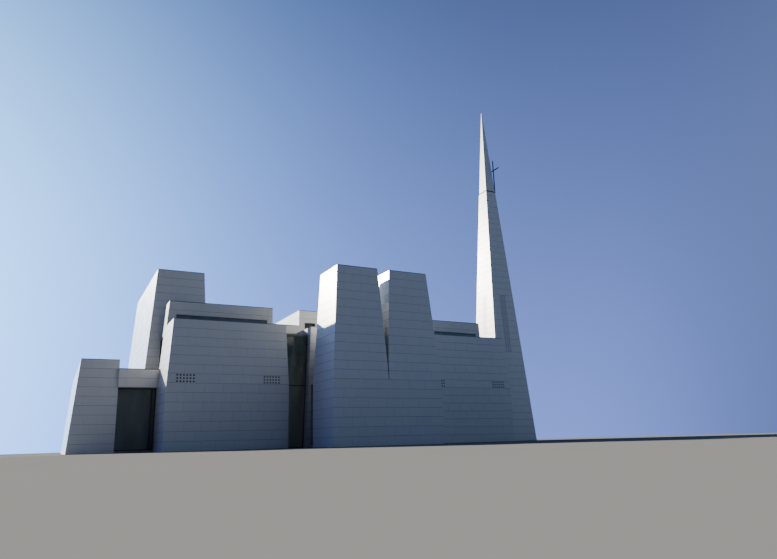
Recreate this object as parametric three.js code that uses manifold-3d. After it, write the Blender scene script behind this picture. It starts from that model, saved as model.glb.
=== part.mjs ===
// A modern church of white tiled blocks with leaning walls and a slender spire.
// Millimetres, +Z up. The street front faces -Y, and +X runs along it to the right.
// Every height and most widths are counted in tile courses.
import * as THREE from 'three';
import Module from 'manifold-3d';
import { mergeVertices } from 'three/addons/utils/BufferGeometryUtils.js';

const wasm = await Module();
wasm.setup();

// Driving dimensions
const COURSE = 600; // one row of wall tiles
const WALL = 360; // wall thickness, measured level
const SLAB = 250; // roof slab thickness
const SHADOW = 300; // roof surface below the top of its parapet
const GLASS = 40; // thickness of a glazed screen
const GAP = 0.3; // play between neighbouring pieces
const courses = (n) => n * COURSE;
const FOLD = courses(7); // the street blocks are upright below this height and lean above it

// A wall face is [place at the ground, lean per millimetre of height], and a folded one
// has the height of its fold as a third number: it is upright below it.
const upright = (place) => [place, 0];
const shift = ([place, lean, fold], by) => [place + by, lean, fold];
const at = ([place, lean, fold], z) =>
  place + lean * (fold === undefined ? z : Math.max(z - fold, 0));

const STREET_FACE = [5184, 0.12, FOLD]; // main front, shared by the left and right blocks
const HALL_FACE = 8700; // upright front of the high hall behind
const LOW_TOP = courses(14);
const HALL_TOP = courses(17);
const LINK_TOP = courses(13);

const WING = {
  left: [0, 0.069], right: upright(2730), front: [8500, 0.1], back: [25800, -0.1],
  top: courses(10),
};
const LEFT_BLOCK = {
  left: [5220, 0.068, FOLD], right: [13180, -0.024, FOLD], front: STREET_FACE,
  back: upright(10260),
};
const TALL_BLOCK = {
  left: [4200, 0.0659], right: [9180, -0.0545], front: [10800, 0.06], back: upright(24050),
  top: courses(22),
};
const RIGHT_BLOCK = {
  left: [14652, 0.04], right: [32240, -0.04, FOLD], inner: upright(5700), front: STREET_FACE,
  split: 21400,
};
const HALL = { left: upright(15150), back: [19320, -0.12], slotTop: courses(15) };
const TOWER = {
  left: [14545, 0.094, FOLD], right: [22540, -0.033, FOLD], front: [546, 0.13, FOLD],
  back: [4090, 0.058, FOLD], top: courses(20),
};
const CLEFT = { x: 18494, z: courses(7.2), leftLean: -0.0228, rightLean: 0.1 };
const NECK = { left: 16500, right: 21100 };
const SPIRE = {
  left: [33214, 0.0645], right: [37080, -0.0522], front: [8142, 0.069],
  back: [12190, -0.0535], ring: courses(39.7), top: courses(54.6), wall: 240,
  hollowTop: courses(47),
};
const RING = { height: 90, proud: 25 };
const CROSS = { x: 35922, y: 9900, bar: 70, top: courses(45.5), arm: 830, armZ: courses(43.75) };
const PORTAL = {
  face: 8820, depth: 420, under: courses(7), top: courses(9), screen: 9600, roofDrop: 100,
  back: 22200,
};
const STRIP = { sill: courses(14), head: courses(15.45) };
const LEFT_STRIP = [6090, 12640];
const RIGHT_STRIP = [25002, 31650];
const HALL_WINDOW = [15582, 16482];
const STRIP_INSET = 90; // glass behind the face of its wall
const SLOT_WINDOW = {
  left: 15000, right: 15270, sill: courses(0.3), head: courses(7.15), inset: 120,
};
const SLOT = { glass: 6300, eaves: 60, roof: 110 };
const LINK = { glass: 5560, notch: 9400 }; // glazed notch in the left block's back corner
const PASSAGE = { front: 9300, back: 11400, top: courses(6) }; // from the hall to the spire
const FLOOR = 120;
const CENTRE = { x: 18540, y: 13173 };

// Materials
const finish = (color, roughness, metalness) =>
  new THREE.MeshStandardMaterial({ color, roughness, metalness });
const tile = finish(0xe9ebec, 0.25, 0);
const roofing = finish(0x8d9194, 0.8, 0);
const glass = finish(0x1b2629, 0.08, 0);
const metal = finish(0x2b2d2f, 0.45, 0.8);
const stone = finish(0x9c9a94, 0.7, 0);

// Solids
const church = new THREE.Group();
church.position.set(-CENTRE.x, -CENTRE.y, 0);

function add(name, geometry, material) {
  const mesh = new THREE.Mesh(geometry, material);
  mesh.name = name;
  church.add(mesh);
  return mesh;
}

// A box whose four sides may lean, left and right in x, front and back in y, with one more
// ring of corners at the fold.
function slab({ left, right, front, back, bottom = 0, top }) {
  const fold = [left, right, front, back].map((face) => face[2]).find((z) => z > bottom && z < top);
  const levels = fold === undefined ? [bottom, top] : [bottom, fold, top];
  const geometry = new THREE.BoxGeometry(1, 1, 1, 1, 1, levels.length - 1);
  const place = geometry.attributes.position;
  for (let i = 0; i < place.count; i += 1) {
    const z = levels[Math.round((place.getZ(i) + 0.5) * (levels.length - 1))];
    const x = at(place.getX(i) > 0 ? right : left, z);
    const y = at(place.getY(i) > 0 ? back : front, z);
    place.setXYZ(i, x, y, z);
  }
  geometry.computeVertexNormals();
  return geometry;
}

function toSolid(geometry) {
  const bare = geometry.clone();
  bare.deleteAttribute('normal');
  bare.deleteAttribute('uv');
  const welded = mergeVertices(bare, 1e-4);
  return new wasm.Manifold(new wasm.Mesh({
    numProp: 3,
    vertProperties: new Float32Array(welded.attributes.position.array),
    triVerts: new Uint32Array(welded.index.array),
  }));
}

function toGeometry(solid) {
  const mesh = solid.getMesh();
  const geometry = new THREE.BufferGeometry();
  geometry.setAttribute('position', new THREE.BufferAttribute(mesh.vertProperties, 3));
  geometry.setIndex(new THREE.BufferAttribute(mesh.triVerts, 1));
  geometry.computeVertexNormals();
  return geometry;
}

const cut = (body, ...tools) =>
  toGeometry(tools.reduce((rest, tool) => rest.subtract(toSolid(tool)), toSolid(body)));
const join = (...bodies) =>
  toGeometry(bodies.slice(1).reduce((sum, body) => sum.add(toSolid(body)), toSolid(bodies[0])));

// The four sides of a block, each wall its own slab, butted at the corners.
const frontWall = (block, top, bottom = 0) => slab({
  left: block.left, right: block.right,
  front: block.front, back: shift(block.front, WALL), bottom, top,
});
const backWall = (block, top, bottom = 0) => slab({
  left: block.left, right: block.right,
  front: shift(block.back, -WALL), back: block.back, bottom, top,
});
const between = (block) => ({
  front: shift(block.front, WALL + GAP), back: shift(block.back, -WALL - GAP),
});
const leftWall = (block, top, bottom = 0) => slab({
  left: block.left, right: shift(block.left, WALL), ...between(block), bottom, top,
});
const rightWall = (block, top, bottom = 0) => slab({
  left: shift(block.right, -WALL), right: block.right, ...between(block), bottom, top,
});
const roof = (block, top) => slab({
  left: shift(block.left, WALL + GAP), right: shift(block.right, -WALL - GAP),
  ...between(block), bottom: top - SHADOW - SLAB, top: top - SHADOW,
});

// Left wing
function buildWing() {
  add('wing_front_wall', frontWall(WING, WING.top), tile);
  add('wing_left_wall', leftWall(WING, WING.top), tile);
  add('wing_right_wall', rightWall(WING, WING.top), tile);
  add('wing_back_wall', backWall(WING, WING.top), tile);
  add('wing_roof', roof(WING, WING.top), roofing);
}

// Portal and the lobby behind it
function buildPortal() {
  const side = { left: shift(WING.right, GAP), right: shift(LEFT_BLOCK.left, -GAP) };
  const farSide = { left: side.left, right: shift(TALL_BLOCK.left, -GAP) };
  const inside = PORTAL.face + PORTAL.depth + GAP;
  const roofTop = PORTAL.top - PORTAL.roofDrop;
  add('portal_lintel', slab({
    ...side, front: upright(PORTAL.face), back: upright(PORTAL.face + PORTAL.depth),
    bottom: PORTAL.under, top: PORTAL.top,
  }), tile);
  add('portal_screen', slab({
    ...side, front: upright(PORTAL.screen), back: upright(PORTAL.screen + GLASS),
    bottom: FLOOR + GAP, top: PORTAL.under - GAP,
  }), glass);
  add('lobby_roof', join(
    slab({
      ...side, front: upright(inside), back: upright(LEFT_BLOCK.back[0]),
      bottom: PORTAL.under, top: roofTop,
    }),
    slab({
      ...farSide, front: upright(inside), back: upright(PORTAL.back),
      bottom: PORTAL.under, top: roofTop,
    }),
  ), roofing);
  add('lobby_back_wall', slab({
    ...farSide, front: upright(PORTAL.back - WALL), back: upright(PORTAL.back),
    bottom: 0, top: PORTAL.under - GAP,
  }), tile);
  add('lobby_floor', slab({
    ...farSide, front: upright(PORTAL.face + PORTAL.depth), back: upright(PORTAL.back - WALL - GAP),
    bottom: 0, top: FLOOR,
  }), stone);
}

// Left block: low front part, high clerestory behind
function stepped(face, width, lowFront, step, back) {
  const sides = { left: face, right: shift(face, width) };
  return join(
    slab({ ...sides, front: lowFront, back, top: LOW_TOP }),
    slab({ ...sides, front: step, back, top: HALL_TOP }),
  );
}

function clerestory(left, right, windows) {
  const wall = slab({
    left, right, front: upright(HALL_FACE), back: upright(HALL_FACE + WALL),
    bottom: LOW_TOP - SHADOW - SLAB, top: HALL_TOP,
  });
  return cut(wall, ...windows.map(stripHole));
}

const stripHole = ([from, to]) => slab({
  left: upright(from), right: upright(to),
  front: upright(HALL_FACE - WALL), back: upright(HALL_FACE + 2 * WALL),
  bottom: STRIP.sill, top: STRIP.head,
});

const stripGlass = ([from, to]) => slab({
  left: upright(from + GAP), right: upright(to - GAP),
  front: upright(HALL_FACE + STRIP_INSET), back: upright(HALL_FACE + STRIP_INSET + GLASS),
  bottom: STRIP.sill + GAP, top: STRIP.head - GAP,
});

function buildLeftBlock() {
  const { left, right, front, back } = LEFT_BLOCK;
  const ends = shift(back, -WALL - GAP);
  const inner = { left: shift(left, WALL + GAP), right: shift(right, -WALL - GAP) };
  add('left_block_front_wall', frontWall(LEFT_BLOCK, LOW_TOP), tile);
  const notch = slab({
    left: upright(0), right: upright(LINK.glass + GLASS + GAP),
    front: upright(LINK.notch), back: shift(back, COURSE), bottom: -COURSE, top: LINK_TOP,
  });
  add('left_block_left_wall', cut(
    stepped(left, WALL, shift(front, WALL + GAP), upright(HALL_FACE), ends), notch,
  ), tile);
  add('left_block_right_wall',
    stepped(shift(right, -WALL), WALL, shift(front, WALL + GAP), upright(HALL_FACE), ends), tile);
  add('left_block_back_wall', cut(backWall(LEFT_BLOCK, HALL_TOP), notch), tile);
  add('left_clerestory_wall', clerestory(inner.left, inner.right, [LEFT_STRIP]), tile);
  add('left_strip_window', stripGlass(LEFT_STRIP), glass);
  add('left_block_low_roof', slab({
    ...inner, front: shift(front, WALL + GAP), back: upright(HALL_FACE - GAP),
    bottom: LOW_TOP - SHADOW - SLAB, top: LOW_TOP - SHADOW,
  }), roofing);
  add('left_block_high_roof', slab({
    ...inner, front: upright(HALL_FACE + WALL + GAP), back: ends,
    bottom: HALL_TOP - SHADOW - SLAB, top: HALL_TOP - SHADOW,
  }), roofing);
}

// Tall block behind the left block, and the glazed link between them
function buildTallBlock() {
  add('tall_block_front_wall', frontWall(TALL_BLOCK, TALL_BLOCK.top), tile);
  add('tall_block_left_wall', leftWall(TALL_BLOCK, TALL_BLOCK.top), tile);
  add('tall_block_right_wall', rightWall(TALL_BLOCK, TALL_BLOCK.top), tile);
  add('tall_block_back_wall', backWall(TALL_BLOCK, TALL_BLOCK.top), tile);
  add('tall_block_roof', roof(TALL_BLOCK, TALL_BLOCK.top), roofing);
  const back = shift(TALL_BLOCK.front, -GAP);
  add('link_glass', slab({
    left: upright(LINK.glass), right: upright(LINK.glass + GLASS),
    front: upright(LINK.notch + GAP), back, bottom: 0, top: LINK_TOP - GAP,
  }), glass);
  add('link_roof', slab({
    left: upright(LINK.glass + GLASS + GAP), right: TALL_BLOCK.right,
    front: shift(LEFT_BLOCK.back, GAP), back, bottom: LINK_TOP - SLAB, top: LINK_TOP,
  }), tile);
}

// Glazed slot between the left and right blocks
function buildSlot() {
  const side = { left: shift(LEFT_BLOCK.right, GAP), right: shift(RIGHT_BLOCK.left, -GAP) };
  add('slot_screen', slab({
    ...side, front: upright(SLOT.glass), back: upright(SLOT.glass + GLASS),
    bottom: 0, top: LINK_TOP - GAP,
  }), glass);
  add('slot_roof', slab({
    ...side, front: upright(SLOT.glass - SLOT.eaves), back: upright(HALL_FACE - GAP),
    bottom: LINK_TOP, top: LINK_TOP + SLOT.roof,
  }), metal);
  add('slot_floor', slab({
    ...side, front: upright(SLOT.glass + GLASS + GAP), back: upright(HALL_FACE + WALL),
    bottom: 0, top: FLOOR,
  }), stone);
}

// Right block and the high hall behind it
function buildRightBlock() {
  const { left, right, inner, front, split } = RIGHT_BLOCK;
  add('right_block_inner_wall', cut(
    slab({ left, right: upright(split), front: inner, back: shift(inner, WALL), top: LOW_TOP }),
    slab({
      left: upright(SLOT_WINDOW.left), right: upright(SLOT_WINDOW.right),
      front: shift(inner, -WALL), back: shift(inner, 2 * WALL),
      bottom: SLOT_WINDOW.sill, top: SLOT_WINDOW.head,
    }),
  ), tile);
  add('right_block_slot_window', slab({
    left: upright(SLOT_WINDOW.left + GAP), right: upright(SLOT_WINDOW.right - GAP),
    front: shift(inner, SLOT_WINDOW.inset), back: shift(inner, SLOT_WINDOW.inset + GLASS),
    bottom: SLOT_WINDOW.sill + GAP, top: SLOT_WINDOW.head - GAP,
  }), glass);
  add('right_block_left_wall', slab({
    left, right: shift(left, WALL),
    front: shift(inner, WALL + GAP), back: upright(HALL_FACE - GAP), top: LOW_TOP,
  }), tile);
  add('right_block_front_wall', slab({
    left: upright(split + GAP), right, front, back: shift(front, WALL), top: LOW_TOP,
  }), tile);
  add('right_block_right_wall', stepped(shift(right, -WALL), WALL,
    shift(front, WALL + GAP), upright(HALL_FACE), shift(HALL.back, -WALL - GAP)), tile);
  add('right_block_low_roof', slab({
    left: shift(left, WALL + GAP), right: shift(right, -WALL - GAP),
    front: shift(inner, WALL + GAP), back: upright(HALL_FACE - GAP),
    bottom: LOW_TOP - SHADOW - SLAB, top: LOW_TOP - SHADOW,
  }), roofing);
}

function buildHall() {
  const right = shift(RIGHT_BLOCK.right, -WALL - GAP);
  const slotLeft = shift(LEFT_BLOCK.right, GAP);
  const hallBack = shift(HALL.back, -WALL - GAP);
  const behindFace = upright(HALL_FACE + WALL + GAP);
  const wallBottom = LOW_TOP - SHADOW - SLAB;
  const lowPart = slab({
    left: slotLeft, right, front: upright(HALL_FACE), back: upright(HALL_FACE + WALL),
    bottom: wallBottom, top: HALL.slotTop,
  });
  const highPart = slab({
    left: HALL.left, right, front: upright(HALL_FACE), back: upright(HALL_FACE + WALL),
    bottom: wallBottom, top: HALL_TOP,
  });
  add('hall_front_wall',
    cut(join(lowPart, highPart), stripHole(HALL_WINDOW), stripHole(RIGHT_STRIP)), tile);
  add('hall_window', stripGlass(HALL_WINDOW), glass);
  add('hall_strip_window', stripGlass(RIGHT_STRIP), glass);
  add('hall_upper_left_wall', slab({
    left: HALL.left, right: shift(HALL.left, WALL), front: behindFace, back: hallBack,
    bottom: HALL.slotTop - SHADOW - SLAB, top: HALL_TOP,
  }), tile);
  add('hall_back_wall', join(
    slab({
      left: upright(LEFT_BLOCK.right[0] - WALL), right: RIGHT_BLOCK.right,
      front: shift(HALL.back, -WALL), back: HALL.back, top: HALL.slotTop,
    }),
    slab({
      left: HALL.left, right: RIGHT_BLOCK.right,
      front: shift(HALL.back, -WALL), back: HALL.back, top: HALL_TOP,
    }),
  ), tile);
  add('hall_left_wall', slab({
    left: shift(LEFT_BLOCK.right, -WALL), right: LEFT_BLOCK.right,
    front: shift(LEFT_BLOCK.back, GAP), back: hallBack, top: HALL.slotTop,
  }), tile);
  add('hall_low_roof', slab({
    left: slotLeft, right: shift(HALL.left, -GAP), front: behindFace, back: hallBack,
    bottom: HALL.slotTop - SHADOW - SLAB, top: HALL.slotTop - SHADOW,
  }), roofing);
  add('hall_high_roof', slab({
    left: shift(HALL.left, WALL + GAP), right, front: behindFace, back: hallBack,
    bottom: HALL_TOP - SHADOW - SLAB, top: HALL_TOP - SHADOW,
  }), roofing);
}

// Front tower, split down its middle by a tapering cleft
function buildTower() {
  const { left, right, front, back, top } = TOWER;
  const cleftLeft = [CLEFT.x - CLEFT.leftLean * CLEFT.z, CLEFT.leftLean];
  const cleftRight = [CLEFT.x - CLEFT.rightLean * CLEFT.z, CLEFT.rightLean];
  const cleft = slab({
    left: cleftLeft, right: cleftRight, front: upright(-COURSE), back: upright(courses(12)),
    bottom: CLEFT.z, top: top + COURSE,
  });
  const inner = between(TOWER);
  const rest = CLEFT.z + GAP;
  add('tower_front_wall', cut(frontWall(TOWER, top), cleft), tile);
  add('tower_back_wall', cut(backWall(TOWER, top), cleft), tile);
  add('tower_left_wall', leftWall(TOWER, top), tile);
  add('tower_right_wall', rightWall(TOWER, top), tile);
  add('cleft_left_wall', slab({
    left: shift(cleftLeft, -WALL), right: cleftLeft, ...inner, bottom: rest, top,
  }), tile);
  add('cleft_right_wall', slab({
    left: cleftRight, right: shift(cleftRight, WALL), ...inner, bottom: rest, top,
  }), tile);
  const level = { bottom: top - SHADOW - SLAB, top: top - SHADOW };
  add('tower_left_roof', slab({
    left: shift(left, WALL + GAP), right: shift(cleftLeft, -WALL - GAP), ...inner, ...level,
  }), roofing);
  add('tower_right_roof', slab({
    left: shift(cleftRight, WALL + GAP), right: shift(right, -WALL - GAP), ...inner, ...level,
  }), roofing);
  const along = { front: shift(back, GAP), back: shift(RIGHT_BLOCK.inner, -GAP) };
  add('tower_neck', cut(
    slab({ left: upright(NECK.left), right: upright(NECK.right), ...along, top: LINK_TOP }),
    slab({
      left: upright(NECK.left + WALL), right: upright(NECK.right - WALL),
      front: upright(0), back: upright(courses(12)), bottom: -COURSE, top: LINK_TOP - SLAB,
    }),
  ), tile);
}

// Spire beside the right block
function buildSpire() {
  const { left, right, front, back, ring, top, wall, hollowTop } = SPIRE;
  const grow = (by) => ({
    left: shift(left, -by), right: shift(right, by), front: shift(front, -by), back: shift(back, by),
  });
  add('spire_shell', cut(
    slab({ ...grow(0), top: ring }),
    slab({ ...grow(-wall), bottom: -COURSE, top: ring + COURSE }),
  ), tile);
  add('spire_ring', cut(
    slab({ ...grow(RING.proud), bottom: ring + GAP, top: ring + RING.height }),
    slab({ ...grow(-wall), bottom: ring - COURSE, top: ring + COURSE }),
  ), metal);
  add('spire_cap', cut(
    slab({ ...grow(0), bottom: ring + RING.height + GAP, top }),
    slab({ ...grow(-wall), bottom: ring - COURSE, top: hollowTop }),
  ), tile);
  const half = CROSS.bar / 2;
  const post = {
    right: upright(CROSS.x + half), front: upright(CROSS.y - half), back: upright(CROSS.y + half),
  };
  add('spire_cross', join(
    slab({ ...post, left: upright(CROSS.x - half), bottom: ring, top: CROSS.top }),
    slab({
      ...post, left: shift(right, RING.proud + GAP), bottom: ring + GAP, top: ring + RING.height,
    }),
    slab({
      left: upright(CROSS.x - half), right: upright(CROSS.x + half),
      front: upright(CROSS.y - CROSS.arm), back: upright(CROSS.y + CROSS.arm),
      bottom: CROSS.armZ - half, top: CROSS.armZ + half,
    }),
  ), metal);
  const link = { left: shift(RIGHT_BLOCK.right, GAP), right: shift(left, -GAP) };
  add('spire_link', cut(
    slab({
      ...link, front: upright(PASSAGE.front), back: upright(PASSAGE.back), top: PASSAGE.top,
    }),
    slab({
      left: shift(link.left, -COURSE), right: shift(link.right, COURSE),
      front: upright(PASSAGE.front + WALL), back: upright(PASSAGE.back - WALL),
      bottom: -COURSE, top: PASSAGE.top - SLAB,
    }),
  ), tile);
}

buildWing();
buildPortal();
buildLeftBlock();
buildTallBlock();
buildSlot();
buildRightBlock();
buildHall();
buildTower();
buildSpire();

export default church;
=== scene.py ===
# %% [markdown]
# # A church of white porcelain tiles
# The building is a group of plain blocks with leaning walls, a tower split by a cleft and a
# thin square spire. The walls come ready from the CAD model, in metres and in place. What is
# added here is what the eye reads as scale: every tile with its joints, the copings, window
# frames, roof sheets and the small vent holes. The tops of the blocks all come from one
# number, the height of a tile course, so it is the first thing to set down.

import math
import random

import bmesh
import bpy
from mathutils import Matrix, Vector
from mathutils.bvhtree import BVHTree


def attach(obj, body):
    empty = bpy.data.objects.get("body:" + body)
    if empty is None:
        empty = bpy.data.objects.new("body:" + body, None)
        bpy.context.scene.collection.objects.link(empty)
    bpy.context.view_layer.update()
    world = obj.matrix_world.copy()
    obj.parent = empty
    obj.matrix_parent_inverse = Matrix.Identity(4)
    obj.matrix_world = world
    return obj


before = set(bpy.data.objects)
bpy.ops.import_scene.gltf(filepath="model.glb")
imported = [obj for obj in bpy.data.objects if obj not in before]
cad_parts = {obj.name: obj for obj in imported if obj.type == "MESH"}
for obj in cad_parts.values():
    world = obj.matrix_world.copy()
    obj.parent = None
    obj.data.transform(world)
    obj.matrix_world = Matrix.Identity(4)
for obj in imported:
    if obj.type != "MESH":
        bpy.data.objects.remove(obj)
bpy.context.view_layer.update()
COURSE = 0.6  # one row of tiles
WALL = 0.36  # wall thickness
UP = Vector((0, 0, 1))

# %% [markdown]
# ## Materials written as sums
# A finish is a small network of nodes. Wiring it in the editor is easy to see but slow to
# change, so here a socket is wrapped in a class that understands + - * and powers, and each
# use adds the Math node it stands for. The reflected forms let a sum start with a number, as
# in 1 - mask.


# %% Sockets that add and multiply
class Wire:
    """One output socket, used in sums."""

    def __init__(self, network, socket):
        self.network, self.socket = network, socket

    def maths(self, how, first, second):
        return self.network.node("ShaderNodeMath", {"operation": how}, {0: first, 1: second})

    def __add__(self, other):
        return self.maths("ADD", self, other)

    def __sub__(self, other):
        return self.maths("SUBTRACT", self, other)

    def __rsub__(self, other):
        return self.maths("SUBTRACT", other, self)

    def __mul__(self, other):
        return self.maths("MULTIPLY", self, other)

    def __pow__(self, other):
        return self.maths("POWER", self, other)

    __radd__, __rmul__ = __add__, __mul__

    def above_zero(self):
        return self.maths("MAXIMUM", self, 0.0)

    def part(self, output):
        """Another output of the same node."""
        return Wire(self.network, self.socket.node.outputs[output])


print("a wire knows + - * and powers")

# %% [markdown]
# Any other node comes from one method. It takes the node's type, then its settings, which go
# first because they can change its sockets, and then the values or wires of its sockets.
# Colours go through Mix and Vector Math nodes, because a Math node would turn them grey.


# %% A network of nodes
class Network:
    """Nodes and links that are written from Python."""

    def __init__(self, graph):
        self.graph = graph

    def feed(self, socket, value):
        if isinstance(value, Wire):
            self.graph.links.new(value.socket, socket)
        else:
            socket.default_value = value

    def node(self, kind, settings=None, sockets=None):
        made = self.graph.nodes.new(kind)
        for name, value in (settings or {}).items():
            setattr(made, name, value)
        for name, value in (sockets or {}).items():
            self.feed(made.inputs[name], value)
        return Wire(self, next(out for out in made.outputs if out.enabled))

    def blend(self, mask, low, high):
        """From one colour to another as the mask goes from 0 to 1."""
        return self.node("ShaderNodeMix", {"data_type": "RGBA"}, {0: mask, 6: low, 7: high})

    def tint(self, colour, amount):
        """A colour times a number."""
        sockets = {0: colour, "Scale": amount}
        return self.node("ShaderNodeVectorMath", {"operation": "SCALE"}, sockets)

    def range(self, value, low, high, to_low=0.0, to_high=1.0):
        """A soft step: as the value goes from low to high, the result goes between its ends."""
        sockets = {0: value, 1: low, 2: high, 3: to_low, 4: to_high}
        return self.node("ShaderNodeMapRange", {"interpolation_type": "SMOOTHSTEP"}, sockets)


print("a network knows how to blend, tint and step")

# %% [markdown]
# A finish is one material: the Principled shader and what is wired into it. Its patterns
# read Object coordinates. Every piece lies at the origin, so they are true metres of the
# building, and a pattern runs on from one piece to the next.


# %% A finish
class Finish(Network):
    """One material: a Principled shader and whatever is wired into it."""

    def __init__(self, name, **fixed):
        self.material = bpy.data.materials.new(name)
        self.material.use_nodes = True
        super().__init__(self.material.node_tree)
        self.shader = self.graph.nodes["Principled BSDF"]
        self.set(**fixed)

    def set(self, **sockets):
        for name, value in sockets.items():
            self.feed(self.shader.inputs[name.replace("_", " ")], value)

    def here(self):
        return self.node("ShaderNodeTexCoord").part("Object")

    def height(self):
        return self.node("ShaderNodeSeparateXYZ", None, {0: self.here()}).part("Z")

    def noise(self, size, squeeze=(1, 1, 1), detail=3.0):
        """Soft patches about `size` metres wide; a squeeze below 1 draws them out that way."""
        place = self.node("ShaderNodeMapping", None, {"Vector": self.here(), "Scale": squeeze})
        sockets = {"Vector": place, "Scale": 1 / size, "Detail": detail}
        return self.node("ShaderNodeTexNoise", None, sockets)

    def bump(self, height, depth):
        """Relief in the shading alone; the depth is in metres."""
        sockets = {"Height": height, "Distance": depth}
        self.set(Normal=self.node("ShaderNodeBump", None, sockets))


print("a finish knows how to make noise and bumps")

# %% [markdown]
# ## Porcelain
# The tiles are glazed white porcelain. Each one comes from the kiln a touch lighter or
# darker and a touch warmer or cooler, so every tile carries its own random number, stored
# on its face, and the finish reads it. Rain leaves faint upright streaks, and a little grey
# dust at the foot of a wall. The glaze is smooth but not flat, so a very shallow bump makes
# the reflections swim as they do on real tiles.

# %% Glazed tile
KILN = "kiln"  # the face attribute with a tile's own number, from 0 to 1
DUSTY, CLEAN = 0.1, 0.8  # heights between which the dust fades out


def porcelain():
    tile = Finish("porcelain", IOR=1.5, Coat_Roughness=0.05)
    own = tile.node("ShaderNodeAttribute", {"attribute_name": KILN}).part("Fac")
    clouds = tile.noise(2.6)
    streaks = tile.noise(0.5, (1, 1, 0.12), 4.0)
    dust = tile.range(tile.height() + tile.noise(0.8) * 0.5, DUSTY, CLEAN, 1.0, 0.0)
    white = tile.blend(own, (0.615, 0.625, 0.645, 1), (0.635, 0.64, 0.65, 1))
    tone = 0.96 + clouds * 0.05 + streaks * 0.03 - dust * 0.03
    tile.set(Base_Color=tile.tint(white, tone))
    tile.set(Roughness=0.27 + streaks * 0.06 + own * 0.04 + dust * 0.2)
    tile.set(Coat_Weight=0.3 - dust * 0.25)
    tile.bump(tile.noise(0.35, detail=1.0) + tile.noise(1.3, detail=1.0) * 2, 0.0003)
    return tile.material


PORCELAIN = porcelain()
print("made", PORCELAIN.name)

# %% [markdown]
# The level joints are open and dark, and the upright ones are closed with a pale grout, which
# is why the courses show more than the single tiles. A grout is matt and grainy. The vent holes
# are black inside, painted shade for the depth of a hole that is shallow here, and the inner
# faces of the walls are lime plaster.


# %% Grout, holes and plaster
def grout(name, low, high):
    filler = Finish(name, Roughness=0.9)
    grain = filler.noise(0.03)
    filler.set(Base_Color=filler.blend(grain, low, high))
    filler.bump(grain, 0.002)
    return filler.material


# A vent hole is sunk only a few millimetres, so its black is painted shade for the depth of the
# hole.
def dark_hole():
    hole = Finish("dark_hole", Roughness=0.95)
    shade_mottle = hole.noise(0.05)
    hole.set(Base_Color=hole.blend(shade_mottle, (0.003, 0.003, 0.004, 1), (0.01, 0.01, 0.012, 1)))
    return hole.material


def plaster():
    lime = Finish("plaster", Roughness=0.85)
    grain, clouds = lime.noise(0.02, detail=5.0), lime.noise(1.5)
    lime.set(Base_Color=lime.blend(clouds, (0.55, 0.55, 0.54, 1), (0.66, 0.66, 0.64, 1)))
    lime.bump(grain, 0.003)
    return lime.material


HOLE, PLASTER = dark_hole(), plaster()
OPEN_JOINT = grout("open_joint", (0.105, 0.11, 0.115, 1), (0.165, 0.17, 0.175, 1))
PALE_GROUT = grout("pale_grout", (0.36, 0.365, 0.37, 1), (0.48, 0.48, 0.48, 1))
# The near-black plate in the foot of the cleft is painted shade, standing for the shadow there.
CLEFT_SHADE = grout("cleft_shade_paint", (0.012, 0.012, 0.014, 1), (0.022, 0.022, 0.026, 1))
print("made", OPEN_JOINT.name, PALE_GROUT.name, CLEFT_SHADE.name, HOLE.name, PLASTER.name)

# %% [markdown]
# ## Roofs, metal and glass
# The flat roofs can't be seen from the front. They get what such roofs have: a grey
# membrane with a little silt where water stands. The floors and the step under the glass
# are honed stone, with cloudy veins and a fine grain.


# %% Membrane and stone
def membrane():
    sheet = Finish("roof_membrane", Specular_IOR_Level=0.25)
    silt = sheet.range(sheet.noise(2.2, detail=5.0), 0.45, 0.75)
    grain = sheet.noise(0.02, detail=2.0)
    grey = sheet.blend(grain, (0.10, 0.105, 0.11, 1), (0.14, 0.145, 0.15, 1))
    sheet.set(Base_Color=sheet.blend(silt, grey, (0.135, 0.12, 0.105, 1)))
    sheet.set(Roughness=0.62 + silt * 0.3)
    sheet.bump(grain + silt, 0.003)
    return sheet.material


def honed_stone():
    slab = Finish("honed_stone")
    veins, grain = slab.noise(0.5, detail=8.0), slab.noise(0.015)
    slab.set(Base_Color=slab.blend(veins, (0.24, 0.235, 0.22, 1), (0.42, 0.41, 0.39, 1)))
    slab.set(Roughness=0.4 + grain * 0.25)
    slab.bump(grain, 0.001)
    return slab.material


MEMBRANE, STONE = membrane(), honed_stone()
print("made", MEMBRANE.name, STONE.name)

# %% [markdown]
# The copings and frames are powder-coated metal with a fine orange-peel grain, a little duller
# where weather has rubbed it. The cap of the spire is coated white like the tiles, and its ring
# and cross are nearly black and too dull to mirror the sky. On the ring that black is painted
# shade, standing for the shadow gap under it.


# %% Coated metal
def coated_metal(name, low, high, roughness, metallic=0.35, shine=0.5):
    metal = Finish(name, Metallic=metallic, Specular_IOR_Level=shine)
    rubbed = metal.noise(0.6, (1, 1, 0.4), 5.0)
    metal.set(Base_Color=metal.blend(rubbed, low, high))
    metal.set(Roughness=roughness + rubbed * 0.15)
    metal.bump(metal.noise(0.008, detail=1.0), 0.0004)
    return metal.material


COPING = coated_metal("coping_metal", (0.12, 0.125, 0.13, 1), (0.18, 0.185, 0.19, 1),
                      roughness=0.5, metallic=0.0, shine=0.2)
FRAMES = coated_metal("frame_metal", (0.03, 0.035, 0.04, 1), (0.06, 0.065, 0.07, 1),
                      roughness=0.38)
# The ring's near-black is painted shade for the shadow gap under it; the cross is dark iron.
IRON_AND_GAP_SHADE = coated_metal("dark_iron_and_gap_shade", (0.012, 0.013, 0.016, 1), (0.022, 0.024, 0.028, 1),
                    roughness=0.7, metallic=0.0, shine=0.0)
WHITE_METAL = coated_metal("white_metal", (0.60, 0.61, 0.63, 1), (0.63, 0.635, 0.645, 1),
                           roughness=0.35, metallic=0.0)
print("made", COPING.name, FRAMES.name, IRON_AND_GAP_SHADE.name, WHITE_METAL.name)
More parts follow.
